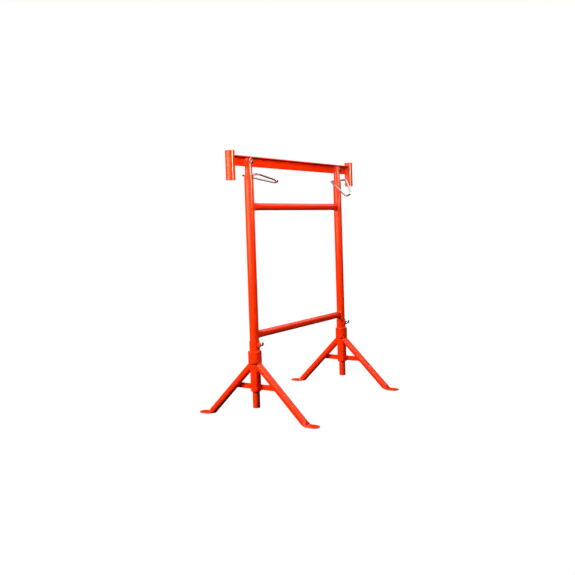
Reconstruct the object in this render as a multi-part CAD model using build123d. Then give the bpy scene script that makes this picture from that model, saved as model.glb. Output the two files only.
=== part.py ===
from build123d import *
import math
import os

# Folding builder's sawhorse: a tube frame on two swivelling two-legged feet, with a telescopic top frame.
# Millimetres, +Z up. X runs along the top rail and -Y is the front. The origin is on the ground,
# midway between the two posts.

# Clearances
WELD_GAP = 0.1
SEAT_GAP = 0.3
SLEEVE_CLEARANCE = 0.35
INNER_CLEARANCE = 1.75
RING_CLEARANCE = 0.9
PIN_CLEARANCE = 0.5
PIN_SIDE_CLEARANCE = 0.5
BOLT_CLEARANCE = 0.5
THREAD_CLEARANCE = 0.3
SLOT_CLEARANCE = 0.2

# Main frame
POST_SPACING = 816.0
UPRIGHT_OD = 42.4
UPRIGHT_WALL = 2.6
UPRIGHT_LENGTH = 980.0
CROSSBAR_OD = 33.7
CROSSBAR_WALL = 2.6
CROSSBAR_END_THICK = 22.0
CROSSBAR_PRESS_LENGTH = 45.0
UPPER_CROSSBAR_DROP = 139.0
LOWER_CROSSBAR_RISE = 252.5

# Top frame
INNER_WALL = 2.6
INNER_LENGTH = 1146.0
RAIL_HEIGHT = 45.0
RAIL_WIDTH = 40.0
RAIL_THICK = 5.0
SOCKET_OD = 42.4
SOCKET_WALL = 2.6
SOCKET_LENGTH = 130.0
SOCKET_RISE = 20.0
SOCKET_OFFSET = 135.5
BOLT_DIA = 10.0
BOLT_HEAD_FLATS = 17.0
BOLT_HEAD_HEIGHT = 6.4
BOLT_DROP = 25.0
BOLT_TAIL = 3.0
NUT_HEIGHT = 8.0

# Height pins: one bent rod each, a shank through the post and a loop that comes back beside it
PIN_DIA = 10.0
PIN_TOP_DROP = 77.0
PIN_PITCH = 100.0
PIN_HOLES = 8
PIN_TAIL_REACH = 17.0
PIN_FRONT_REACH = 35.0
PIN_LOOP_REACH = 86.0
PIN_LOOP_DEPTH = 84.5
PIN_RETURN_REACH = 59.5
PIN_RETURN_DEPTH = 101.0
PIN_END_REACH = 1.0
PIN_END_DROP = 5.0
PIN_BEND_RADIUS = 12.0
LEFT_PIN_TILT = 68.5
RIGHT_PIN_TILT = 27.0

# Swivel feet
SLEEVE_BOTTOM_Z = 133.5
SLEEVE_WALL = 2.6
SLEEVE_LENGTH = 231.0
SLEEVE_CHAMFER = 1.5
RING_HEIGHT = 6.0
COLLAR_WALL = 7.0
COLLAR_HEIGHT = 53.5
COLLAR_RISE = 130.5
LEG_OD = 33.7
LEG_WALL = 2.6
LEG_ANGLE = 45.0
LEG_ROOT_Z = 271.7
HEEL_RISE = 4.0
PRESS_RUN = 23.7
TOE_LENGTH = 54.5
TOE_WIDTH = 50.0
TOE_THICK = 6.0
BRACE_HEIGHT = 25.0
BRACE_THICK = 5.0
BRACE_RISE = 4.0
BRACE_OFFSET = 13.0

# Lock screws
LOCK_DIA = 8.0
LOCK_RISE = 213.5
LOCK_NUT_FLATS = 17.0
LOCK_NUT_HEIGHT = 9.0
LOCK_REACH = 14.0
LOCK_HOOK = 14.0
LOCK_BEND_RADIUS = 6.0
LOCK_HOLE_CLEARANCE = 0.8

# Worked out from the sizes above
upright_r = UPRIGHT_OD / 2
upright_bottom_z = SLEEVE_BOTTOM_Z + RING_HEIGHT + SEAT_GAP
upright_top_z = upright_bottom_z + UPRIGHT_LENGTH
inner_od = UPRIGHT_OD - 2 * UPRIGHT_WALL - 2 * INNER_CLEARANCE
inner_r = inner_od / 2
pin_r = PIN_DIA / 2
pin_z = upright_top_z + SEAT_GAP + pin_r
inner_top_z = pin_z + PIN_TOP_DROP
inner_bottom_z = inner_top_z - INNER_LENGTH
rail_top_z = inner_top_z + WELD_GAP + RAIL_THICK
rail_bottom_z = rail_top_z - RAIL_HEIGHT
bolt_z = rail_top_z - BOLT_DROP
socket_x = POST_SPACING / 2 + SOCKET_OFFSET
socket_top_z = rail_top_z + SOCKET_RISE
sleeve_bore = UPRIGHT_OD + 2 * SLEEVE_CLEARANCE
sleeve_od = sleeve_bore + 2 * SLEEVE_WALL
sleeve_r = sleeve_od / 2
collar_od = sleeve_od + 2 * WELD_GAP + 2 * COLLAR_WALL
collar_bottom_z = SLEEVE_BOTTOM_Z + COLLAR_RISE
lock_z = SLEEVE_BOTTOM_Z + LOCK_RISE
crossbar_zs = {
    "upper_crossbar": upright_top_z - UPPER_CROSSBAR_DROP,
    "lower_crossbar": upright_bottom_z + LOWER_CROSSBAR_RISE,
}
pin_tilts = {"left": LEFT_PIN_TILT, "right": RIGHT_PIN_TILT}


def cylinder_z(diameter, bottom_z, top_z):
    """Upright cylinder on the Z axis."""
    base = Pos(0, 0, bottom_z)
    return base * Cylinder(diameter / 2, top_z - bottom_z, align=(Align.CENTER, Align.CENTER, Align.MIN))


def tube_z(diameter, wall, bottom_z, top_z):
    """Upright tube on the Z axis, open at both ends."""
    return cylinder_z(diameter, bottom_z, top_z) - cylinder_z(diameter - 2 * wall, bottom_z, top_z)


def cylinder_y(diameter, start_y, end_y, z):
    """Cylinder along Y, at height z over the Y axis."""
    middle = Pos(0, (start_y + end_y) / 2, z)
    return middle * Rot(90, 0, 0) * Cylinder(diameter / 2, abs(end_y - start_y))


def hexagon_y(flats, start_y, height, z):
    """Hexagon bar along Y from start_y, a corner upwards."""
    plane = Plane(origin=(0, start_y, z), x_dir=(0, 0, 1), z_dir=(0, math.copysign(1, height), 0))
    corner_r = flats / 2 / math.cos(math.pi / 6)
    return extrude(plane * RegularPolygon(corner_r, 6), abs(height))


def round_section(plane, diameter):
    """Circle made of six arcs, to loft onto a pressed section: flats at local +Y and -Y."""
    r = diameter / 2
    marks = [60, 120, 180, 240, 300, 360]
    arcs = [CenterArc((0, 0), r, start, 60) for start in marks]
    return plane * make_face(arcs)


def pressed_section(plane, width, thick):
    """Tube pressed flat along local X: two flats and two rounded edges, in six edges."""
    r = thick / 2
    c = width / 2 - r
    edges = [
        Line((c, r), (-c, r)),
        CenterArc((-c, 0), r, 90, 90),
        CenterArc((-c, 0), r, 180, 90),
        Line((-c, -r), (c, -r)),
        CenterArc((c, 0), r, 270, 90),
        CenterArc((c, 0), r, 0, 90),
    ]
    return plane * make_face(edges)


def pressed_width(diameter, thick):
    """Width of a tube's section once it is pressed to a thickness: its girth stays."""
    return thick + math.pi * (diameter - thick) / 2


def upright():
    return tube_z(UPRIGHT_OD, UPRIGHT_WALL, upright_bottom_z, upright_top_z)


def crossbar_body(diameter, end_thick):
    """Round bar along X between the posts, pressed taller and thinner towards both ends."""
    half = POST_SPACING / 2
    round_half = half - upright_r - CROSSBAR_PRESS_LENGTH
    body = Rot(0, 90, 0) * Cylinder(diameter / 2, 2 * round_half)
    for side in (-1, 1):
        inner_plane = Plane(origin=(side * round_half, 0, 0), x_dir=(0, 0, 1), z_dir=(side, 0, 0))
        outer_plane = Plane(origin=(side * half, 0, 0), x_dir=(0, 0, 1), z_dir=(side, 0, 0))
        outer = pressed_section(outer_plane, pressed_width(diameter, end_thick), end_thick)
        body += loft([round_section(inner_plane, diameter), outer], ruled=True)
    return body


def crossbar(z):
    """Tube between the uprights, its ends shaped round them."""
    bore = CROSSBAR_OD - 2 * CROSSBAR_WALL
    bar = crossbar_body(CROSSBAR_OD, CROSSBAR_END_THICK)
    bar -= crossbar_body(bore, CROSSBAR_END_THICK - 2 * CROSSBAR_WALL)
    for side in (-1, 1):
        post = cylinder_z(UPRIGHT_OD + 2 * WELD_GAP, -CROSSBAR_OD, CROSSBAR_OD)
        bar -= Pos(side * POST_SPACING / 2, 0, 0) * post
    return Pos(0, 0, z) * bar


def inner_tube():
    """Telescopic tube: a row of pin holes, a bolt hole and a slot that takes the rail's web."""
    tube = tube_z(inner_od, INNER_WALL, inner_bottom_z, inner_top_z)
    slot_bottom_z = rail_bottom_z - WELD_GAP
    slot_height = inner_top_z - slot_bottom_z
    slot = Box(2 * inner_od, RAIL_THICK + 2 * SLOT_CLEARANCE, 2 * slot_height)
    tube -= Pos(0, 0, inner_top_z) * slot
    tube -= cylinder_y(BOLT_DIA + 2 * BOLT_CLEARANCE, -inner_od, inner_od, bolt_z)
    for index in range(PIN_HOLES):
        hole_z = pin_z - index * PIN_PITCH
        tube -= cylinder_y(PIN_DIA + 2 * PIN_CLEARANCE, -inner_od, inner_od, hole_z)
    return tube


def top_rail():
    """T-section that the boards lie on, from socket to socket."""
    length = 2 * (socket_x - SOCKET_OD / 2 - WELD_GAP)
    flange = Pos(0, 0, rail_top_z - RAIL_THICK / 2) * Box(length, RAIL_WIDTH, RAIL_THICK)
    web = Pos(0, 0, rail_top_z - RAIL_HEIGHT / 2) * Box(length, RAIL_THICK, RAIL_HEIGHT)
    rail = flange + web
    for side in (-1, 1):
        hole = cylinder_y(BOLT_DIA + 2 * BOLT_CLEARANCE, -RAIL_THICK, RAIL_THICK, bolt_z)
        rail -= Pos(side * POST_SPACING / 2, 0, 0) * hole
    return rail


def post_socket():
    """Open tube that takes the foot of a guard-rail post."""
    return tube_z(SOCKET_OD, SOCKET_WALL, socket_top_z - SOCKET_LENGTH, socket_top_z)


def rail_bolt():
    """Hexagon bolt from the front, through the inner tube and the rail's web."""
    seat_y = -inner_r - WELD_GAP
    tail_y = inner_r + WELD_GAP + NUT_HEIGHT + BOLT_TAIL
    head = hexagon_y(BOLT_HEAD_FLATS, seat_y, -BOLT_HEAD_HEIGHT, bolt_z)
    return head + cylinder_y(BOLT_DIA, seat_y, tail_y, bolt_z)


def rail_nut():
    seat_y = inner_r + WELD_GAP
    nut = hexagon_y(BOLT_HEAD_FLATS, seat_y, NUT_HEIGHT, bolt_z)
    return nut - cylinder_y(BOLT_DIA + 2 * THREAD_CLEARANCE, seat_y, seat_y + NUT_HEIGHT, bolt_z)


def pin_point(out, depth, tilt, inward):
    """Point of a height pin: out in front of the post, depth off the shank, tilted inward from straight down."""
    angle = math.radians(tilt)
    return (inward * depth * math.sin(angle), -out, pin_z - depth * math.cos(angle))


def height_pin(tilt, inward):
    """Bent rod: the shank lies along Y through the post, and the loop's end springs back beside the upright."""
    side_x = inward * (upright_r + pin_r + PIN_SIDE_CLEARANCE)
    path = FilletPolyline(
        pin_point(-inner_r - PIN_TAIL_REACH, 0, tilt, inward),
        pin_point(upright_r + PIN_FRONT_REACH, 0, tilt, inward),
        pin_point(upright_r + PIN_LOOP_REACH, PIN_LOOP_DEPTH, tilt, inward),
        pin_point(upright_r + PIN_RETURN_REACH, PIN_RETURN_DEPTH, tilt, inward),
        (side_x, upright_r + PIN_END_REACH, pin_z - PIN_END_DROP),
        radius=PIN_BEND_RADIUS,
    )
    return sweep(Plane(path @ 0, z_dir=path % 0) * Circle(pin_r), path)


def sleeve():
    """Tube that turns on the upright, drilled for the lock screw."""
    body = cylinder_z(sleeve_od, SLEEVE_BOTTOM_Z, SLEEVE_BOTTOM_Z + SLEEVE_LENGTH)
    body = chamfer(body.edges().group_by(Axis.Z)[0], SLEEVE_CHAMFER)
    body -= cylinder_z(sleeve_bore, SLEEVE_BOTTOM_Z, SLEEVE_BOTTOM_Z + SLEEVE_LENGTH)
    return body - cylinder_y(LOCK_DIA + 2 * LOCK_HOLE_CLEARANCE, -sleeve_od, 0, lock_z)


def bearing_ring():
    """Ring in the sleeve's bottom: the upright stands on it and the inner tube passes through."""
    wall = (sleeve_bore - 2 * WELD_GAP - inner_od - 2 * RING_CLEARANCE) / 2
    return tube_z(sleeve_bore - 2 * WELD_GAP, wall, SLEEVE_BOTTOM_Z, SLEEVE_BOTTOM_Z + RING_HEIGHT)


def collar():
    return tube_z(collar_od, COLLAR_WALL, collar_bottom_z, collar_bottom_z + COLLAR_HEIGHT)


def leg_point(distance):
    """Point on the rear leg's axis, at a distance from where it starts on the post's axis."""
    angle = math.radians(LEG_ANGLE)
    return (0, distance * math.sin(angle), LEG_ROOT_Z - distance * math.cos(angle))


def leg_plane(distance):
    angle = math.radians(LEG_ANGLE)
    return Plane(origin=leg_point(distance), x_dir=(1, 0, 0), z_dir=(0, math.sin(angle), -math.cos(angle)))


def rear_leg():
    """Tube whose end is pressed down flat on the ground to make a toe with a round tip."""
    angle = math.radians(LEG_ANGLE)
    round_end = (LEG_ROOT_Z - HEEL_RISE - LEG_OD / 2 * math.sin(angle)) / math.cos(angle)
    tube = leg_plane(0) * extrude(Circle(LEG_OD / 2), round_end)
    bore = leg_plane(0) * extrude(Circle(LEG_OD / 2 - LEG_WALL), round_end)

    toe_start = leg_point(round_end)[1] + PRESS_RUN
    toe_plane = Plane(origin=(0, toe_start, TOE_THICK / 2), x_dir=(1, 0, 0), z_dir=(0, 1, 0))
    flat = pressed_section(toe_plane, TOE_WIDTH, TOE_THICK)
    press = loft([round_section(leg_plane(round_end), LEG_OD), flat], ruled=True)
    toe = extrude(flat, TOE_LENGTH)
    tip_y = toe_start + TOE_LENGTH - TOE_WIDTH / 2
    tip = Pos(0, tip_y + TOE_WIDTH / 2, 0) * Box(2 * TOE_WIDTH, TOE_WIDTH, 4 * TOE_THICK)
    tip -= Pos(0, tip_y, 0) * Cylinder(TOE_WIDTH / 2, 4 * TOE_THICK)

    leg = tube + press + toe - bore - tip
    leg -= cylinder_z(sleeve_od + 2 * WELD_GAP, 0, LEG_ROOT_Z + LEG_OD)
    return leg - cylinder_z(collar_od + 2 * WELD_GAP, collar_bottom_z - WELD_GAP, LEG_ROOT_Z + LEG_OD)


def rear_brace():
    """Flat bar on edge between the sleeve and the leg, set back from the middle and shaped to both."""
    bottom_z = SLEEVE_BOTTOM_Z + BRACE_RISE
    middle_z = bottom_z + BRACE_HEIGHT / 2
    length = LEG_ROOT_Z * math.tan(math.radians(LEG_ANGLE))
    bar = Pos(BRACE_OFFSET, length / 2, middle_z) * Box(BRACE_THICK, length, BRACE_HEIGHT)
    bar -= cylinder_z(sleeve_od + 2 * WELD_GAP, 0, LEG_ROOT_Z)
    beyond_leg = Box(length, length, 4 * length, align=(Align.CENTER, Align.MAX, Align.CENTER))
    bar -= leg_plane(0) * beyond_leg
    return bar - leg_plane(0) * extrude(Circle(LEG_OD / 2 + WELD_GAP), 2 * LEG_ROOT_Z)


def lock_nut():
    """Nut welded on the sleeve's front."""
    seat_y = -sleeve_r - WELD_GAP
    nut = hexagon_y(LOCK_NUT_FLATS, seat_y, -LOCK_NUT_HEIGHT, lock_z)
    return nut - cylinder_y(LOCK_DIA + 2 * THREAD_CLEARANCE, seat_y - LOCK_NUT_HEIGHT, seat_y, lock_z)


def lock_screw():
    """Rod screw that clamps the sleeve on the upright, its end hooked up as a handle."""
    end_y = -sleeve_r - WELD_GAP - LOCK_NUT_HEIGHT - LOCK_REACH
    path = FilletPolyline(
        (0, -upright_r - SEAT_GAP, lock_z),
        (0, end_y, lock_z),
        (0, end_y, lock_z + LOCK_HOOK),
        radius=LOCK_BEND_RADIUS,
    )
    return sweep(Plane(path @ 0, z_dir=path % 0) * Circle(LOCK_DIA / 2), path)


parts = {name: crossbar(z) for name, z in crossbar_zs.items()}
parts["top_rail"] = top_rail()
bolts = []
nuts = []
for side_name, side in (("left", -1), ("right", 1)):
    post = Pos(side * POST_SPACING / 2, 0, 0)
    half_turn = Rot(0, 0, 180)
    parts[side_name + "_upright"] = post * upright()
    parts[side_name + "_inner_tube"] = post * inner_tube()
    parts[side_name + "_post_socket"] = Pos(side * socket_x, 0, 0) * post_socket()
    bolts.append(post * rail_bolt())
    nuts.append(post * rail_nut())
    parts[side_name + "_sleeve"] = post * sleeve()
    parts[side_name + "_collar"] = post * collar()
    parts[side_name + "_bearing_ring"] = post * bearing_ring()
    parts[side_name + "_rear_leg"] = post * rear_leg()
    parts[side_name + "_front_leg"] = post * half_turn * rear_leg()
    parts[side_name + "_rear_brace"] = post * rear_brace()
    parts[side_name + "_front_brace"] = post * mirror(rear_brace(), about=Plane.XZ)
    parts[side_name + "_lock_nut"] = post * lock_nut()
    parts[side_name + "_lock_screw"] = post * lock_screw()
    parts[side_name + "_height_pin"] = post * height_pin(pin_tilts[side_name], -side)
parts["rail_bolts"] = Compound(children=bolts)
parts["rail_nuts"] = Compound(children=nuts)

os.makedirs("parts", exist_ok=True)
for node, solid in parts.items():
    export_step(solid, f"parts/{node}.step")
    print(node, round(solid.volume / 1000, 2), "cm3")
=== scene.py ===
import math

import bpy
from mathutils import Matrix, Vector


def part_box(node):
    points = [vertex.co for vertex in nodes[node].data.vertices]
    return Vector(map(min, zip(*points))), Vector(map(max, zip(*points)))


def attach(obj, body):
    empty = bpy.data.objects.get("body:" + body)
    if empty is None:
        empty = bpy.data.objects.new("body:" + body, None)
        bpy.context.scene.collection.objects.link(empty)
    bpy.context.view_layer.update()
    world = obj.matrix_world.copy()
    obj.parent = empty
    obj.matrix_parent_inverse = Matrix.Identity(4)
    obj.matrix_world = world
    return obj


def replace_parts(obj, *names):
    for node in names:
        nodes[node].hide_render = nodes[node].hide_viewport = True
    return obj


# %% [markdown]
# A builder's sawhorse is mostly tube: two posts, two crossbars, a telescopic top and four splayed legs.
# The metalwork arrives as a finished frame, so this lesson is about everything that makes it look real:
# the camera, the studio, glossy enamel, zinc plate, weld beads, bolts and threads.

# %% Load the metalwork
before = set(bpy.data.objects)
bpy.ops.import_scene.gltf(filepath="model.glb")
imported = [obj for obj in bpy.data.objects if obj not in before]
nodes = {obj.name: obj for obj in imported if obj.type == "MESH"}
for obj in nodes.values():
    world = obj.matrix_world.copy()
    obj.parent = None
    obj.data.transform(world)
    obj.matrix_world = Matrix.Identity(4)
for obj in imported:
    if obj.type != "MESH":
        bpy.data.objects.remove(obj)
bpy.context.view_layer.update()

# %% [markdown]
# The camera comes first, because every later choice is judged through it. Its place was found by matching
# the posts, crossbars and legs with the picture. The heading turns from +X towards +Y, the lens follows from
# the focal length in pixels, and a small shift keeps the posts almost parallel.

# %% Camera
PHOTO_PIXELS = 575
FOCAL_PIXELS = 748.8
CENTRE_ROW = 260.0
SENSOR_MM = 36.0
CAMERA_PLACE = Vector((-3.1785, -2.0109, 0.8933))
CAMERA_HEADING = math.radians(33.23)
CAMERA_PITCH = math.radians(-2.70)
CAMERA_ROLL = math.radians(1.85)


def direction(azimuth, elevation):
    """Unit vector at these angles in radians, with azimuth turning from +X towards +Y."""
    level = math.cos(elevation)
    return Vector((math.cos(azimuth) * level, math.sin(azimuth) * level, math.sin(elevation)))


def add_object(name, data):
    """New object in the scene that holds this mesh, lamp or camera."""
    thing = bpy.data.objects.new(name, data)
    bpy.context.scene.collection.objects.link(thing)
    return thing


def aim_camera():
    """Camera whose axes are worked out from a heading, a pitch and a roll."""
    forward = direction(CAMERA_HEADING, CAMERA_PITCH)
    level_right = Vector((math.sin(CAMERA_HEADING), -math.cos(CAMERA_HEADING), 0))
    level_down = forward.cross(level_right)
    right = level_right * math.cos(CAMERA_ROLL) + level_down * math.sin(CAMERA_ROLL)
    up = level_right * math.sin(CAMERA_ROLL) - level_down * math.cos(CAMERA_ROLL)
    data = bpy.data.cameras.new("photo_camera")
    data.sensor_width = SENSOR_MM
    data.lens = FOCAL_PIXELS / PHOTO_PIXELS * SENSOR_MM
    data.shift_y = (CENTRE_ROW - PHOTO_PIXELS / 2) / PHOTO_PIXELS
    camera = add_object("photo_camera", data)
    turn = Matrix((right, up, -forward)).transposed().to_4x4()
    camera.matrix_world = Matrix.Translation(CAMERA_PLACE) @ turn
    bpy.context.scene.camera = camera
    return data


lens = aim_camera()
print("lens mm:", round(lens.lens, 2), "shift:", round(lens.shift_y, 4))

# %% [markdown]
# The picture has a pure white ground, so the studio must look white without flooding the paint with light.
# A bright world would do it, but it would also wash the enamel out. Here the world and the floor ask what
# kind of ray has arrived: rays from the lens, and rays mirrored by paint or metal, meet white, while rays
# that light a dull surface meet a dim grey. The floor's own dull part is what carries the shadow.

# %% White for the lens, dim for the light
WHITE_LEVEL = 1.0
AMBIENT_LEVEL = 0.01
FLOOR_COLOUR = 0.025
FLOOR_GLOW = 0.98
FLOOR_HALF_SIZE = 9.0

bpy.context.scene.view_settings.view_transform = "Standard"


def seen_directly(tree):
    """Socket that is 1 for rays from the lens, a mirror or glass, and 0 for the rest."""
    path = tree.nodes.new("ShaderNodeLightPath")
    seen = path.outputs["Is Camera Ray"]
    for ray in ("Is Glossy Ray", "Is Transmission Ray"):
        either = tree.nodes.new("ShaderNodeMath")
        either.operation = "MAXIMUM"
        tree.links.new(seen, either.inputs[0])
        tree.links.new(path.outputs[ray], either.inputs[1])
        seen = either.outputs["Value"]
    return seen


def seen_level(tree, unseen, seen):
    """Socket that goes from one level to another where the surface is seen directly."""
    level = tree.nodes.new("ShaderNodeMapRange")
    level.inputs["To Min"].default_value = unseen
    level.inputs["To Max"].default_value = seen
    tree.links.new(seen_directly(tree), level.inputs["Value"])
    return level.outputs["Result"]


world = bpy.data.worlds.new("studio")
bpy.context.scene.world = world
world.use_nodes = True
sky = world.node_tree.nodes["Background"]
sky.inputs["Color"].default_value = (1, 1, 1, 1)
sky_level = seen_level(world.node_tree, AMBIENT_LEVEL, WHITE_LEVEL)
world.node_tree.links.new(sky_level, sky.inputs["Strength"])

floor_paint = bpy.data.materials.new("studio_floor")
floor_paint.use_nodes = True
tree = floor_paint.node_tree
tree.nodes.clear()
dull = tree.nodes.new("ShaderNodeBsdfDiffuse")
dull.inputs["Color"].default_value = (FLOOR_COLOUR, FLOOR_COLOUR, FLOOR_COLOUR, 1)
glow = tree.nodes.new("ShaderNodeEmission")
tree.links.new(seen_level(tree, 0.0, FLOOR_GLOW), glow.inputs["Strength"])
both = tree.nodes.new("ShaderNodeAddShader")
tree.links.new(dull.outputs["BSDF"], both.inputs[0])
tree.links.new(glow.outputs["Emission"], both.inputs[1])
output = tree.nodes.new("ShaderNodeOutputMaterial")
tree.links.new(both.outputs["Shader"], output.inputs["Surface"])

corner = FLOOR_HALF_SIZE
floor_mesh = bpy.data.meshes.new("floor")
corners = [(-corner, -corner, 0), (corner, -corner, 0), (corner, corner, 0), (-corner, corner, 0)]
floor_mesh.from_pydata(corners, [], [(0, 1, 2, 3)])
floor_mesh.materials.append(floor_paint)
add_object("floor", floor_mesh)
print("floor glow:", FLOOR_GLOW, "ambient:", AMBIENT_LEVEL)

# %% [markdown]
# A large box lamp near the left post draws the shapes and fades towards the right one, and a sun behind it
# reaches the feet, so the undersides and the right edges stay dark, as in the picture. A strip above the
# front does the same for the rail and the crossbars, and two more suns keep the front and the back readable.
# Over the paint that the camera sees they come to about 1 in the middle, so that it renders about as it is
# mixed. The long pale streaks on the tubes are mirrored lamps. Those are hidden from dull rays, so that their
# place isn't tied to the shading, and the lamps that shade are hidden from mirrors, so that they leave no
# hard glints.

# %% Lamps
WARM_WHITE = (1.0, 0.88, 0.6)


def add_sun(name, azimuth, elevation, level, angle):
    """Soft sun that brings a surface facing it to this level; angles are in degrees."""
    data = bpy.data.lights.new(name, "SUN")
    data.energy = level * math.pi
    data.angle = math.radians(angle)
    lamp = add_object(name, data)
    towards = direction(math.radians(azimuth), math.radians(elevation))
    lamp.rotation_euler = towards.to_track_quat("Z", "Y").to_euler()
    lamp.visible_glossy = False


def add_strip(name, azimuth, distance, centre_x, low, high, width, radiance, shades):
    """Upright strip lamp that either shades dull paint or is mirrored as a streak in gloss and metal."""
    data = bpy.data.lights.new(name, "AREA")
    data.shape = "RECTANGLE"
    data.size = width
    data.size_y = high - low
    data.energy = radiance * math.pi * width * (high - low)
    data.color = WARM_WHITE
    lamp = add_object(name, data)
    away = direction(math.radians(azimuth), 0)
    lamp.location = Vector((centre_x, 0, (low + high) / 2)) + away * distance
    lamp.rotation_euler = away.to_track_quat("Z", "Y").to_euler()
    lamp.visible_camera = False
    lamp.visible_diffuse = shades
    lamp.visible_glossy = not shades


# Each sun: name, azimuth, elevation, level, angle.
SUNS = (
    ("key_sun", 147, 30, 0.85, 4),
    ("back_sun", 30, 38, 0.65, 12),
    ("fill_sun", 270, 45, 0.23, 4),
)
# Each strip: name, azimuth and distance from a centre on X, low and high end, width, radiance, shades.
STRIPS = (
    ("left_box", 165, 1.25, -0.41, 0.95, 1.9, 1.3, 13, True),
    ("left_streak", 165, 1.25, -0.41, 0.95, 1.9, 1.3, 20, False),
    ("left_glow", 170, 1.3, -0.41, 0.6, 0.95, 1.3, 3, False),
    ("front_glint", 270, 3.5, -0.15, 1.25, 1.95, 0.9, 55, False),
    ("camera_glow", 212, 4.0, 0, 0.9, 2.2, 3.6, 1.2, False),
    ("right_glow", 353, 4.0, 0, 2.0, 3.6, 3.0, 0.5, False),
    ("front_strip", 270, 1.2, -0.33, 1.4, 1.95, 0.2, 55, True),
)
for sun in SUNS:
    add_sun(*sun)
for strip in STRIPS:
    add_strip(*strip)

# %% [markdown]
# Glossy paint on a white set mirrors white from every side and turns pink. Photographers put black card, a
# flag, just outside the picture, so that the paint mirrors darkness and keeps its colour, and plated metal
# gets its black lines. This flag is a low round wall with a base, and only mirrored rays can see it. The base
# hides the floor from them, because white from below would turn the posts and legs pink. Above, the flag is
# open, so that metal still shows the white of the set there.

# %% Dark flag
TAU = math.tau
FLAG_RADIUS = 4.2
FLAG_HEIGHT = 2.6
FLAG_BASE = 0.0008
FLAG_STEPS = 48
FLAG_COLOUR = 0.01

turns = [TAU * i / FLAG_STEPS for i in range(FLAG_STEPS)]
rings = [
    direction(turn, 0) * FLAG_RADIUS + Vector((0, 0, height))
    for height in (FLAG_BASE, FLAG_HEIGHT) for turn in turns
]
following = [(i + 1) % FLAG_STEPS for i in range(FLAG_STEPS)]
walls = [(i, j, FLAG_STEPS + j, FLAG_STEPS + i) for i, j in enumerate(following)]
base = tuple(range(FLAG_STEPS))
flag_mesh = bpy.data.meshes.new("dark_flag")
flag_mesh.from_pydata(rings, [], walls + [base])
flag_paint = bpy.data.materials.new("flag_card")
flag_paint.use_nodes = True
flag_shader = flag_paint.node_tree.nodes["Principled BSDF"]
flag_shader.inputs["Base Color"].default_value = (FLAG_COLOUR, FLAG_COLOUR, FLAG_COLOUR, 1)
flag_shader.inputs["Roughness"].default_value = 1.0
flag_shader.inputs["Specular IOR Level"].default_value = 0.0
flag_mesh.materials.append(flag_paint)
flag = add_object("dark_flag", flag_mesh)
flag.visible_camera = False
flag.visible_diffuse = False
flag.visible_shadow = False
flag.visible_transmission = False
print("flag faces:", len(flag_mesh.polygons))

# %% [markdown]
# A finish is built from a few small moves: a noise for unevenness, a remap that turns it into roughness, a
# blend between two colours and a bump. Each is one short helper here, so that the materials below read as a
# recipe. All of them use the object's own coordinates, in metres, so the texture keeps its real scale.

# %% Shader helpers
def new_finish(name):
    """Material with its node tree, its shader and the object's coordinates."""
    finish = bpy.data.materials.new(name)
    finish.use_nodes = True
    tree = finish.node_tree
    place = tree.nodes.new("ShaderNodeTexCoord").outputs["Object"]
    return finish, tree, tree.nodes["Principled BSDF"], place


def noise(tree, place, scale, detail=3.0, stretch=(1, 1, 1)):
    """Noise from 0 to 1, with a scale in waves for each metre that can be stretched along an axis."""
    spread = tree.nodes.new("ShaderNodeMapping")
    spread.inputs["Scale"].default_value = stretch
    tree.links.new(place, spread.inputs["Vector"])
    cloud = tree.nodes.new("ShaderNodeTexNoise")
    cloud.inputs["Scale"].default_value = scale
    cloud.inputs["Detail"].default_value = detail
    tree.links.new(spread.outputs["Vector"], cloud.inputs["Vector"])
    return cloud.outputs["Fac"]


def remap(tree, value, low, high, at_low, at_high):
    """Socket that goes from one level to another as a value goes from low to high, and stops there."""
    ramp = tree.nodes.new("ShaderNodeMapRange")
    for socket, level in zip(("From Min", "From Max", "To Min", "To Max"), (low, high, at_low, at_high)):
        ramp.inputs[socket].default_value = level
    tree.links.new(value, ramp.inputs["Value"])
    return ramp.outputs["Result"]


def times(tree, first, second):
    """Product of two sockets."""
    product = tree.nodes.new("ShaderNodeMath")
    product.operation = "MULTIPLY"
    tree.links.new(first, product.inputs[0])
    tree.links.new(second, product.inputs[1])
    return product.outputs["Value"]


def blend(tree, amount, first, second):
    """Colour between two colours, each a socket or plain numbers."""
    mix = tree.nodes.new("ShaderNodeMix")
    mix.data_type = "RGBA"
    tree.links.new(amount, mix.inputs["Factor"])
    for socket, colour in zip((mix.inputs[6], mix.inputs[7]), (first, second)):
        if isinstance(colour, tuple):
            socket.default_value = (*colour, 1)
        else:
            tree.links.new(colour, socket)
    return mix.outputs[2]


def emboss(tree, shader, heights):
    """Bumps from pairs of a height socket and its depth in metres, one over the other."""
    normal = None
    for height, depth in heights:
        bump = tree.nodes.new("ShaderNodeBump")
        bump.inputs["Distance"].default_value = depth
        tree.links.new(height, bump.inputs["Height"])
        if normal:
            tree.links.new(normal, bump.inputs["Normal"])
        normal = bump.outputs["Normal"]
    tree.links.new(normal, shader.inputs["Normal"])


print("shader helpers ready")

# %% [markdown]
# The frame is stove-enamelled in one orange. Up close such paint isn't flat: it drifts a little in tone, has
# a fine orange peel and catches dust. The inner tubes slide, so theirs carries faint rubbing lines, and the
# legs' toes stand on rough ground, so there it is scuffed and dull. One function makes them all.

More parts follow.
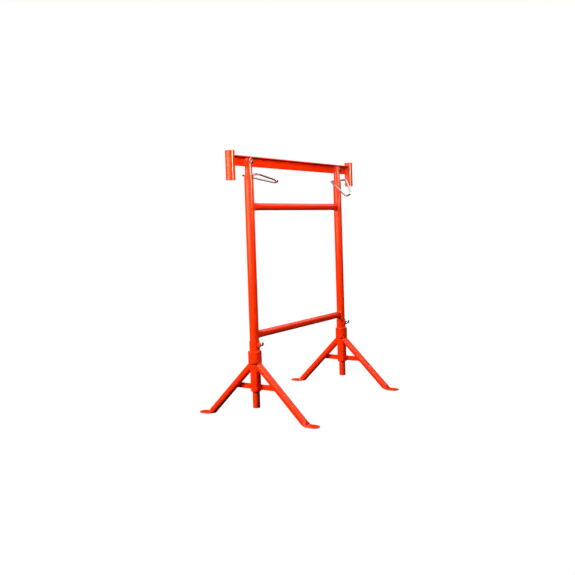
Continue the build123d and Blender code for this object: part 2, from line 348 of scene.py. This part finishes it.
# %% Enamel
ORANGE_DEEP = (0.96, 0.0275, 0.001)
ORANGE_LIGHT = (1.0, 0.033, 0.0015)
SCUFF_COLOUR = (0.15, 0.053, 0.03)
RUB_COLOUR = (1.0, 0.095, 0.024)
ENAMEL_SPECULAR = 0.45
NOISE_MIDDLE = (0.3, 0.7)
DRIFT_WAVES = 9.0
GLOSS_WAVES = 45.0
PEEL_WAVES = 420.0
NIB_WAVES = 700.0
NIB_PEAKS = (0.72, 0.8)
NIB_DEPTH = 0.000002
RUB_STRETCH = (900, 900, 9)
RUB_PEAKS = (0.56, 0.70)
RUB_STRENGTH = 0.5
SCUFF_HEIGHT = 0.006
SCUFF_WAVES = 150.0
SCUFF_PEAKS = (0.46, 0.58)
SCUFF_STRENGTH = 0.9


def enamel(name, gloss=(0.13, 0.22), peel=0.000012, rubbed=False, scuffed=False):
    """Glossy orange enamel with drift in tone, orange peel and, where asked, rubbing or scuffed soles."""
    paint, tree, shader, place = new_finish(name)
    drift = noise(tree, place, DRIFT_WAVES, detail=4.0)
    colour = blend(tree, remap(tree, drift, *NOISE_MIDDLE, 0, 1), ORANGE_DEEP, ORANGE_LIGHT)
    rough = remap(tree, noise(tree, place, GLOSS_WAVES), *NOISE_MIDDLE, *gloss)
    if rubbed:
        lines = noise(tree, place, 1.0, detail=4.0, stretch=RUB_STRETCH)
        worn = remap(tree, lines, *RUB_PEAKS, 0, RUB_STRENGTH)
        colour = blend(tree, worn, colour, RUB_COLOUR)
    if scuffed:
        split = tree.nodes.new("ShaderNodeSeparateXYZ")
        tree.links.new(place, split.inputs["Vector"])
        near_ground = remap(tree, split.outputs["Z"], 0.0, SCUFF_HEIGHT, 1, 0)
        patches = remap(tree, noise(tree, place, SCUFF_WAVES, detail=5.0), *SCUFF_PEAKS, 0, SCUFF_STRENGTH)
        scuff = times(tree, near_ground, patches)
        colour = blend(tree, scuff, colour, SCUFF_COLOUR)
    tree.links.new(colour, shader.inputs["Base Color"])
    tree.links.new(rough, shader.inputs["Roughness"])
    shader.inputs["Specular IOR Level"].default_value = ENAMEL_SPECULAR
    nibs = remap(tree, noise(tree, place, NIB_WAVES, detail=1.0), *NIB_PEAKS, 0, 1)
    emboss(tree, shader, [(noise(tree, place, PEEL_WAVES), peel), (nibs, NIB_DEPTH)])
    return paint


post_paint = enamel("orange_enamel")
tube_paint = enamel("rubbed_enamel", rubbed=True)
leg_paint = enamel("scuffed_enamel", gloss=(0.10, 0.18), scuffed=True)
bead_paint = enamel("bead_enamel", gloss=(0.18, 0.3), peel=0.00003)
print("enamels:", post_paint.name, tube_paint.name, leg_paint.name, bead_paint.name)

# %% [markdown]
# Pins, bolts and lock screws are zinc plated. Bright plate is a mirror with a slightly cloudy tone between
# blue and straw, and handling leaves hair scratches on it. The pins are the brightest. The bolts and screws
# are duller and greyer, so the same recipe takes its roughness and its two tones from outside.

# %% Zinc plate
ZINC_COOL = (0.78, 0.82, 0.90)
ZINC_STRAW = (0.93, 0.91, 0.86)
GREY_COOL = (0.42, 0.45, 0.50)
GREY_STRAW = (0.56, 0.54, 0.50)
TINT_WAVES = 55.0
TINT_MIDDLE = (0.35, 0.65)
CLOUDING_WAVES = 130.0
HAIR_STRETCH = (1500, 160, 1500)
HAIR_DEPTH = 0.000003


def zinc(name, gloss, cool=ZINC_COOL, straw=ZINC_STRAW):
    """Zinc plate with a cloudy tint, uneven gloss and hair scratches."""
    plate, tree, shader, place = new_finish(name)
    cloud = remap(tree, noise(tree, place, TINT_WAVES, detail=4.0), *TINT_MIDDLE, 0, 1)
    tree.links.new(blend(tree, cloud, cool, straw), shader.inputs["Base Color"])
    rough = remap(tree, noise(tree, place, CLOUDING_WAVES, detail=4.0), *NOISE_MIDDLE, *gloss)
    tree.links.new(rough, shader.inputs["Roughness"])
    shader.inputs["Metallic"].default_value = 1.0
    hairs = noise(tree, place, 1.0, stretch=HAIR_STRETCH)
    emboss(tree, shader, [(hairs, HAIR_DEPTH)])
    return plate


pin_plate = zinc("bright_zinc", (0.03, 0.09))
bolt_plate = zinc("dull_zinc", (0.18, 0.32), GREY_COOL, GREY_STRAW)
print("zinc:", pin_plate.name, bolt_plate.name)

# %% [markdown]
# Cut tube ends and rolled bars never have knife edges. The imported solids do, so each gets four modifiers: a
# weld that joins the split corners, a dissolve that turns slivers back into whole flats, a narrow bevel on
# the sharp edges and weighted normals that keep the flats flat. Modifiers leave the mesh itself untouched,
# which a bmesh bevel wouldn't.

# %% Soft edges and finishes on the solids
EDGE_ANGLE = math.radians(35)
FLAT_ANGLE = math.radians(0.2)
EDGE_WIDTHS = {"top_rail": 0.0012, "brace": 0.0008, "height_pin": 0.0012, "lock_nut": 0.0006}
TUBE_EDGE = 0.0006
EDGE_SEGMENTS = 2
JOIN_DISTANCE = 1e-6


def soften(thing, width):
    """Rounds the sharp edges of an object with modifiers."""
    join = thing.modifiers.new("join", "WELD")
    join.merge_threshold = JOIN_DISTANCE
    whole = thing.modifiers.new("whole", "DECIMATE")
    whole.decimate_type = "DISSOLVE"
    whole.angle_limit = FLAT_ANGLE
    edge = thing.modifiers.new("edge", "BEVEL")
    edge.width = width
    edge.segments = EDGE_SEGMENTS
    edge.limit_method = "ANGLE"
    edge.angle_limit = EDGE_ANGLE
    thing.modifiers.new("flats", "WEIGHTED_NORMAL")


def finish_for(name):
    """Finish of a solid, told from its name."""
    if "pin" in name:
        return pin_plate
    if "screw" in name or "bolts" in name or "nuts" in name:
        return bolt_plate
    if "leg" in name:
        return leg_paint
    return tube_paint if "inner_tube" in name else post_paint


for name, node in nodes.items():
    node.material_slots[0].material = finish_for(name)
    widths = [width for key, width in EDGE_WIDTHS.items() if key in name]
    soften(node, widths[0] if widths else TUBE_EDGE)
print("softened:", len(nodes))

# %% [markdown]
# Every joint of this frame is arc-welded and then painted over, so each seam shows a bead with the ripples
# of the weld pool. A seam is written as a function from 0 to 1 that gives a point and the direction in which
# the bead swells, and one sweep turns any seam into rings of points. A curve with a round bevel would be
# shorter, but it could have no ripples.

# %% Bead helpers
BEAD_SPREAD = math.radians(105)
BEAD_SIDES = 9
BEAD_STEP = 0.0008
BEAD_CROWN = 0.9
BEAD_SINK = 0.1
BEAD_TIP = 0.15
SEAM_MARKS = 60
RIPPLE_PITCH = 0.0034
RIPPLE_DEPTH = 0.08
RIPPLE_LAG = 1.6


def skin(rings, closed):
    """Points and faces over rings of equal size; the ends are joined up or capped."""
    size = len(rings[0])
    points = [point for ring in rings for point in ring]
    spans = len(rings) if closed else len(rings) - 1
    faces = []
    for i in range(spans):
        here = i * size
        there = (i + 1) % len(rings) * size
        for k in range(size):
            after = (k + 1) % size
            faces.append((here + k, here + after, there + after, there + k))
    if not closed:
        faces.append(tuple(reversed(range(size))))
        faces.append(tuple(range(len(points) - size, len(points))))
    return points, faces


def bead_rings(seam, size, closed):
    """Rings of a rippled bead along a seam; an open bead tapers at both ends."""
    marks = [seam(i / SEAM_MARKS)[0] for i in range(SEAM_MARKS + 1)]
    length = sum((b - a).length for a, b in zip(marks, marks[1:]))
    steps = round(length / BEAD_STEP)
    waves = round(length / RIPPLE_PITCH)
    rings = []
    for i in range(steps if closed else steps + 1):
        t = i / steps
        point, swell = seam(t)
        along = seam(t + 0.5 / steps)[0] - seam(t - 0.5 / steps)[0]
        across = along.cross(swell).normalized()
        swell = across.cross(along).normalized()
        left = min(1.0, min(t, 1 - t) * length / size + BEAD_TIP)
        taper = 1.0 if closed else math.sqrt(1 - (1 - left) ** 2)
        ring = []
        for k in range(BEAD_SIDES):
            turn = BEAD_SPREAD * (2 * k / (BEAD_SIDES - 1) - 1)
            ripple = 1 + RIPPLE_DEPTH * math.sin(TAU * waves * t + RIPPLE_LAG * math.cos(turn))
            reach = size * taper * ripple
            rise = BEAD_CROWN * math.cos(turn) - BEAD_SINK
            ring.append(point + swell * reach * rise + across * reach * math.sin(turn))
        rings.append(ring)
    return rings


def add_piece(name, body, finish, skins):
    """One object from several skins, riding on a body of the frame."""
    points = []
    faces = []
    for skin_points, skin_faces in skins:
        start = len(points)
        points += skin_points
        faces += [tuple(start + corner for corner in face) for face in skin_faces]
    mesh = bpy.data.meshes.new(name)
    mesh.from_pydata(points, [], faces)
    mesh.materials.append(finish)
    mesh.shade_smooth()
    mesh.set_sharp_from_angle(angle=EDGE_ANGLE)
    piece = add_object(name, mesh)
    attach(piece, body)
    print(name, "faces:", len(faces))
    return piece


def add_welds(name, body, seams):
    """Painted beads for several seams, each with its size and whether it closes."""
    beads = [skin(bead_rings(seam, size, closed), closed) for seam, size, closed in seams]
    return add_piece(name, body, bead_paint, beads)


def line_seam(start, end, swell):
    """Straight seam between two points."""
    start = Vector(start)
    end = Vector(end)
    swell = Vector(swell).normalized()
    return lambda t: (start.lerp(end, t), swell)


def ring_seam(centre, radius, lean):
    """Level round seam that swells outwards, leaning up or down."""
    def seam(t):
        outward = Vector((math.cos(TAU * t), math.sin(TAU * t), 0))
        return Vector(centre) + outward * radius, (outward + Vector((0, 0, lean))).normalized()
    return seam


def span(name):
    """Lowest corner, highest corner and middle of a solid."""
    low, high = (Vector(corner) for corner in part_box(name))
    return low, high, (low + high) / 2


def radius_of(name):
    """Outer radius of an upright round solid."""
    low, high = span(name)[:2]
    return (high.x - low.x) / 2


SIDES = ("left", "right")
ENDS = {"front": -1, "rear": 1}
post_x = {side: span(side + "_upright")[2].x for side in SIDES}
post_radius = radius_of("left_upright")
print("posts at", post_x, "radius", round(post_radius, 4))

# %% [markdown]
# The crossbars' ends are pressed oval and sit against the round posts, so their seam is an oval wrapped on a
# cylinder. It is written directly: go round the oval, and push each point in to the post's surface.

# %% Crossbar welds
BAR_END_HALF_THICK = 0.01285
BAR_BEAD = 0.0032
OVAL_SHARE = 3


def bar_seam(bar, side):
    """Oval seam of a crossbar's end on a post."""
    low, high, middle = span(bar)
    sign = math.copysign(1, post_x[side])
    straight = (high.z - low.z) / 2 - BAR_END_HALF_THICK

    def seam(t):
        wide, tall = math.cos(TAU * t), math.sin(TAU * t)
        y = BAR_END_HALF_THICK * wide
        z = BAR_END_HALF_THICK * tall + straight * max(-1, min(1, OVAL_SHARE * tall))
        inward = -sign * math.sqrt(post_radius**2 - y**2)
        swell = Vector((inward / post_radius, y / post_radius + wide, tall))
        return Vector((post_x[side] + inward, y, middle.z + z)), swell.normalized()
    return seam


add_welds("crossbar_welds", "main_frame", [
    (bar_seam(bar, side), BAR_BEAD, True)
    for bar in ("upper_crossbar", "lower_crossbar") for side in SIDES
])

# %% [markdown]
# Each foot is a sleeve with a thick collar, two legs at 45 degrees and two flat braces. The legs' seam is
# where two cylinders cross, which a short formula gives: for each turn round the leg, how far out the
# sleeve's surface lies. At the top the collar takes over from the sleeve.

# %% Foot welds
LEG_RADIUS = 0.01685
LEG_ROOT_Z = 0.2717
SLOPE = math.sqrt(0.5)
LEG_BEAD = 0.0034
COLLAR_BEAD = 0.0024
BRACE_BEAD = 0.0026
NUT_BEAD = 0.0018
BASE_BEAD = 0.0013
BASE_LEAN = -9
NUT_FLATS = 0.017

sleeve_radius = radius_of("left_sleeve")
collar_low, collar_high = span("left_collar")[:2]
collar_radius = radius_of("left_collar")
ring_low = span("left_bearing_ring")[0]
ring_radius = radius_of("left_bearing_ring")
lock_z = span("left_lock_nut")[2].z


def leg_seam(side, way):
    """Seam where a leg's tube meets the sleeve and, above it, the collar."""
    def seam(t):
        wide, tall = math.cos(TAU * t), math.sin(TAU * t)
        x = LEG_RADIUS * wide
        lift = LEG_RADIUS * tall * SLOPE
        y = math.sqrt(sleeve_radius**2 - x**2)
        if LEG_ROOT_Z - y + 2 * lift > collar_low.z:
            y = min(LEG_ROOT_Z + 2 * lift - collar_low.z, math.sqrt(collar_radius**2 - x**2))
        reach = math.hypot(x, y)
        swell = Vector((x / reach + wide, way * (y / reach + tall * SLOPE), tall * SLOPE))
        return Vector((post_x[side] + x, way * y, LEG_ROOT_Z - y + 2 * lift)), swell.normalized()
    return seam


def brace_seams(side, end, way):
    """Four upright seams of a brace: each face at the sleeve and at the leg."""
    low, high = span(f"{side}_{end}_brace")[:2]
    seams = []
    for face_x, face in ((low.x, -1), (high.x, 1)):
        x = face_x - post_x[side]
        y = way * math.sqrt(sleeve_radius**2 - x**2)
        swell = (x / sleeve_radius + face, y / sleeve_radius, 0)
        seams.append(line_seam((face_x, y, low.z), (face_x, y, high.z), swell))
        drop = math.sqrt(LEG_RADIUS**2 - x**2) * SLOPE
        ends = [(face_x, way * (LEG_ROOT_Z - 2 * drop - z), z) for z in (low.z, high.z)]
        swell = (x / LEG_RADIUS + face, -way * drop / LEG_RADIUS, -drop / LEG_RADIUS)
        seams.append(line_seam(*ends, swell))
    return seams


def nut_seam(side):
    """Six-sided seam of the lock nut on the sleeve's front."""
    def seam(t):
        turn = TAU * t
        off_flat = (turn % (TAU / 6)) - TAU / 12
        reach = NUT_FLATS / 2 / math.cos(off_flat)
        x = reach * math.cos(turn + TAU / 12)
        depth = math.sqrt(sleeve_radius**2 - x**2)
        outward = Vector((math.cos(turn + TAU / 12), 0, math.sin(turn + TAU / 12)))
        swell = outward + Vector((x / sleeve_radius, -depth / sleeve_radius, 0))
        return Vector((post_x[side] + x, -depth, lock_z + reach * outward.z)), swell.normalized()
    return seam


for side in SIDES:
    foot = side + "_foot"
    axis = Vector((post_x[side], 0, 0))
    add_welds(side + "_leg_welds", foot, [(leg_seam(side, way), LEG_BEAD, True) for way in ENDS.values()])
    add_welds(side + "_brace_welds", foot, [
        (seam, BRACE_BEAD, False) for end, way in ENDS.items() for seam in brace_seams(side, end, way)
    ])
    add_welds(side + "_collar_welds", foot, [
        (ring_seam(axis + Vector((0, 0, collar_high.z)), sleeve_radius, 1), COLLAR_BEAD, True),
        (ring_seam(axis + Vector((0, 0, collar_low.z)), sleeve_radius, -1), COLLAR_BEAD, True),
    ])
    add_welds(side + "_base_weld", foot, [
        (ring_seam(axis + Vector((0, 0, ring_low.z)), ring_radius, BASE_LEAN), BASE_BEAD, True),
    ])
    add_welds(side + "_nut_weld", foot, [(nut_seam(side), NUT_BEAD, True)])

# %% [markdown]
# The legs are tubes whose ends were flattened and bent in a press. Steel flows there, so round turns to flat
# in one soft sweep, while the solid has a straight loft with creases that glint. A new skin takes its place:
# two smooth curves give the lower and the upper line of the leg, and each ring between them is as flat as it
# is wider than high. A subdivision surface would be softer still, but it would lose the measured lines.

# %% Pressed legs
LEG_POINTS = 48
LEG_MOUTH_Y = 0.03
LEG_MOUTH_RADIUS = 0.0005
TOE_LENGTH = 0.0545
TOE_HALF_WIDTH = 0.025
TOE_HALF_THICK = 0.003
HEEL_RISE = 0.004
PULL_UNDER = 0.008
PULL_OVER = 0.024
PRESS_STEPS = 16
TIP_STEPS = 16
TIP_LAST_TURN = math.radians(86)
FLAT_SHARE = 2.5

slope_down = Vector((SLOPE, -SLOPE))
slope_up = Vector((SLOPE, SLOPE))
round_y = LEG_ROOT_Z - HEEL_RISE - LEG_RADIUS * SLOPE
toe_end = span("left_rear_leg")[1].y
toe_start = toe_end - TOE_LENGTH
tip_y = toe_end - TOE_HALF_WIDTH


def sweep(start, end, pull, t):
    """Point on a smooth curve that leaves along the leg's slope and arrives level."""
    settle = t * t * (3 - 2 * t)
    leaving = t * (1 - t) ** 2
    arriving = t * t * (t - 1)
    return start.lerp(end, settle) + slope_down * pull * leaving + Vector((pull, 0)) * arriving


def leg_section(under, over, half_width):
    """Ring of (x, y, z) between the lower and the upper line, drawn out to a width."""
    middle = (under + over) / 2
    rise = (over - under) / 2
    straight = max(0.0, half_width - rise.length)
    ring = []
    for k in range(LEG_POINTS):
        wide, tall = math.cos(TAU * k / LEG_POINTS), math.sin(TAU * k / LEG_POINTS)
        x = rise.length * wide + straight * max(-1, min(1, FLAT_SHARE * wide))
        ring.append((x, *(middle + rise * tall)))
    return ring


def leg_rings():
    """Rings of a leg from its mouth in the weld to the tip of its toe, with y pointing outwards."""
    mouth = Vector((LEG_MOUTH_Y, LEG_ROOT_Z - LEG_MOUTH_Y))
    inset = slope_up * LEG_MOUTH_RADIUS
    rings = [leg_section(mouth - inset, mouth + inset, LEG_MOUTH_RADIUS)]
    weld = leg_seam("left", 1)
    at_sleeve = [weld(k / LEG_POINTS)[0] for k in range(LEG_POINTS)]
    rings.append([(point.x - post_x["left"], point.y, point.z) for point in at_sleeve])
    axis_end = Vector((round_y, LEG_ROOT_Z - round_y))
    low_line = (axis_end - slope_up * LEG_RADIUS, Vector((toe_start, 0)))
    high_line = (axis_end + slope_up * LEG_RADIUS, Vector((toe_start, 2 * TOE_HALF_THICK)))
    for i in range(PRESS_STEPS + 1):
        t = i / PRESS_STEPS
        spread = LEG_RADIUS + (TOE_HALF_WIDTH - LEG_RADIUS) * t * t * (3 - 2 * t)
        rings.append(leg_section(sweep(*low_line, PULL_UNDER, t), sweep(*high_line, PULL_OVER, t), spread))
    for i in range(TIP_STEPS + 1):
        turn = TIP_LAST_TURN * i / TIP_STEPS
        y = tip_y + TOE_HALF_WIDTH * math.sin(turn)
        left = min(1.0, (toe_end - y) / TOE_HALF_THICK)
        half = TOE_HALF_THICK * math.sqrt(1 - (1 - left) ** 2)
        under, over = (Vector((y, TOE_HALF_THICK + way * half)) for way in (-1, 1))
        rings.append(leg_section(under, over, TOE_HALF_WIDTH * math.cos(turn)))
    return rings


pressed = leg_rings()
for side in SIDES:
    for end, way in ENDS.items():
        turned = [[Vector((post_x[side] - way * x, way * y, z)) for x, y, z in ring] for ring in pressed]
        leg = add_piece(
            f"{side}_{end}_pressed_leg", side + "_foot", leg_paint, [skin(turned, False)]
        )
        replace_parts(leg, f"{side}_{end}_leg")

# %% [markdown]
# The T-shaped rail stands in slots at the tops of the inner tubes and ends against the two post sockets. All
# its seams are straight lines in the corners between web and tube, four to each tube and two to each socket,
# with a short one across the flange.

# %% Rail welds
RAIL_BEAD = 0.0026
FLANGE_BEAD_HALF = 0.006
FLANGE_THICK = 0.005
WEB_HALF_THICK = 0.0025

rail_low, rail_high = span("top_rail")[:2]
web_top = rail_high.z - FLANGE_THICK
tube_radius = radius_of("left_inner_tube")
tube_edge = math.sqrt(tube_radius**2 - WEB_HALF_THICK**2)


def web_seam(x, way, face):
    """Upright seam in the corner between the web's face and what stands across its end."""
    y = face * WEB_HALF_THICK
    return line_seam((x, y, rail_low.z), (x, y, web_top), (way, face, 0))


seams = [
    (web_seam(post_x[side] + way * tube_edge, way, face), RAIL_BEAD, False)
    for side in SIDES for way in (-1, 1) for face in (-1, 1)
]
for end_x, way in ((rail_low.x, 1), (rail_high.x, -1)):
    seams += [(web_seam(end_x, way, face), RAIL_BEAD, False) for face in (-1, 1)]
    across = [(end_x, y, rail_high.z) for y in (-FLANGE_BEAD_HALF, FLANGE_BEAD_HALF)]
    seams.append((line_seam(*across, (way, 0, 1)), RAIL_BEAD, False))
add_welds("rail_welds", "top_frame", seams)

# %% [markdown]
# The bolts and nuts came in as plain prisms. A real head has a 30 degree chamfer turned on it, which cuts
# the six sides in arcs, and a real tail has a thread. Both are rings of points again: the chamfer is a cone
# that takes over from the hexagon, and the thread is a radius that winds with height.

# %% Bolts and nuts
HEX_STEPS = 72
CHAMFER_SLOPE = math.tan(math.radians(30))
CHAMFER_SHARE = 0.94
BOLT_RADIUS = 0.005
BOLT_PITCH = 0.0015
BOLT_FLATS = 0.017
THREAD_SHARE = 0.55
HEAD_HEIGHT = 0.0064
NUT_HEIGHT = 0.008
NUT_MOUTH = 0.0006
THREAD_STEPS = 8
ROD_SIDES = 24

rod_turns = [TAU * k / ROD_SIDES for k in range(ROD_SIDES)]


def y_ring(x, y, z, radii):
    """Ring of points round a line along Y, with a radius for each step."""
    count = len(radii)
    turns = [TAU * k / count for k in range(count)]
    return [Vector((x + r * math.sin(a), y, z + r * math.cos(a))) for a, r in zip(turns, radii)]


def hex_radii(flats):
    """Distances from the middle to a hexagon, a corner first."""
    turns = [TAU * k / HEX_STEPS % (TAU / 6) - TAU / 12 for k in range(HEX_STEPS)]
    return [flats / 2 / math.cos(turn) for turn in turns]


def hex_rings(x, z, start_y, height, bore=0.0):
    """Rings of a chamfered head or nut: its height is signed, and a bore makes it a ring."""
    way = math.copysign(1, height)
    hexagon = hex_radii(BOLT_FLATS)
    crown = BOLT_FLATS / 2 * CHAMFER_SHARE
    shoulder = [abs(height) - (r - crown) * CHAMFER_SLOPE for r in hexagon]
    wall = y_ring(x, 0, z, hexagon)
    top = start_y + height
    rings = [
        y_ring(x, start_y, z, hexagon),
        [Vector((p.x, start_y + way * rise, p.z)) for p, rise in zip(wall, shoulder)],
        y_ring(x, top, z, [crown] * HEX_STEPS),
    ]
    if bore:
        hole = [bore] * HEX_STEPS
        rings.append(y_ring(x, top, z, [bore + NUT_MOUTH] * HEX_STEPS))
        rings.append(y_ring(x, top - way * NUT_MOUTH, z, hole))
        rings.append(y_ring(x, start_y, z, hole))
    return rings


def thread_rings(x, z, start_y, end_y, radius, pitch):
    """Rings of a threaded rod along Y with a chamfered tip."""
    steps = round(abs(end_y - start_y) / pitch * THREAD_STEPS)
    depth = pitch * THREAD_SHARE
    rings = []
    for i in range(steps + 1):
        y = start_y + (end_y - start_y) * i / steps
        room = radius - max(0.0, depth - abs(end_y - y))
        waves = [0.5 + 0.5 * math.cos(TAU * y / pitch - turn) for turn in rod_turns]
        rings.append(y_ring(x, y, z, [min(room, radius - depth * wave) for wave in waves]))
    return rings


bolt_low, bolt_high, bolt_middle = span("rail_bolts")
nut_low = span("rail_nuts")[0]
nut_middle = span("rail_nuts")[2]
seat_y = bolt_low.y + HEAD_HEIGHT
bolt_skins = []
nut_skins = []
for side in SIDES:
    head = hex_rings(post_x[side], bolt_middle.z, seat_y, -HEAD_HEIGHT)
    tail = thread_rings(post_x[side], bolt_middle.z, seat_y, bolt_high.y, BOLT_RADIUS, BOLT_PITCH)
    nut = hex_rings(post_x[side], nut_middle.z, nut_low.y, NUT_HEIGHT, BOLT_RADIUS)
    bolt_skins += [skin(head, False), skin(tail, False)]
    nut_skins.append(skin(nut, True))
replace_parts(add_piece("hex_bolts", "top_frame", bolt_plate, bolt_skins), "rail_bolts")
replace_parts(add_piece("hex_nuts", "top_frame", bolt_plate, nut_skins), "rail_nuts")

# %% [markdown]
# The lock screws are bent from threaded rod: a straight run through the nut and a hooked end to turn them
# by. The run is threaded as above, and the hook is rings along a quarter circle. Both share one skin, so no
# seam shows where the thread dies out.

# %% Lock screws
SCREW_RADIUS = 0.004
SCREW_PITCH = 0.00125
HOOK_RADIUS = 0.006
HOOK_STEPS = 12
TIP_CHAMFER = 0.0006

screw_low, screw_high = span("left_lock_screw")[:2]
hook_y = screw_low.y + SCREW_RADIUS
bend_y = hook_y + HOOK_RADIUS
for side in SIDES:
    x = post_x[side]
    run = list(reversed(thread_rings(x, lock_z, bend_y, screw_high.y, SCREW_RADIUS, SCREW_PITCH)))
    for i in range(HOOK_STEPS + 1):
        bend = TAU / 4 * i / HOOK_STEPS
        outward = Vector((0, -math.sin(bend), -math.cos(bend)))
        centre = Vector((x, bend_y, lock_z + HOOK_RADIUS)) + outward * HOOK_RADIUS
        run.append([
            centre + Vector((SCREW_RADIUS * math.sin(turn), 0, 0)) - outward * SCREW_RADIUS * math.cos(turn)
            for turn in rod_turns
        ])
    rims = ((screw_high.z - TIP_CHAMFER, SCREW_RADIUS), (screw_high.z, SCREW_RADIUS - TIP_CHAMFER))
    for top, radius in rims:
        run.append([
            Vector((x + radius * math.sin(turn), hook_y + radius * math.cos(turn), top)) for turn in rod_turns
        ])
    screw = add_piece(side + "_hook_screw", side + "_lock", bolt_plate, [skin(run, False)])
    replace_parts(screw, side + "_lock_screw")
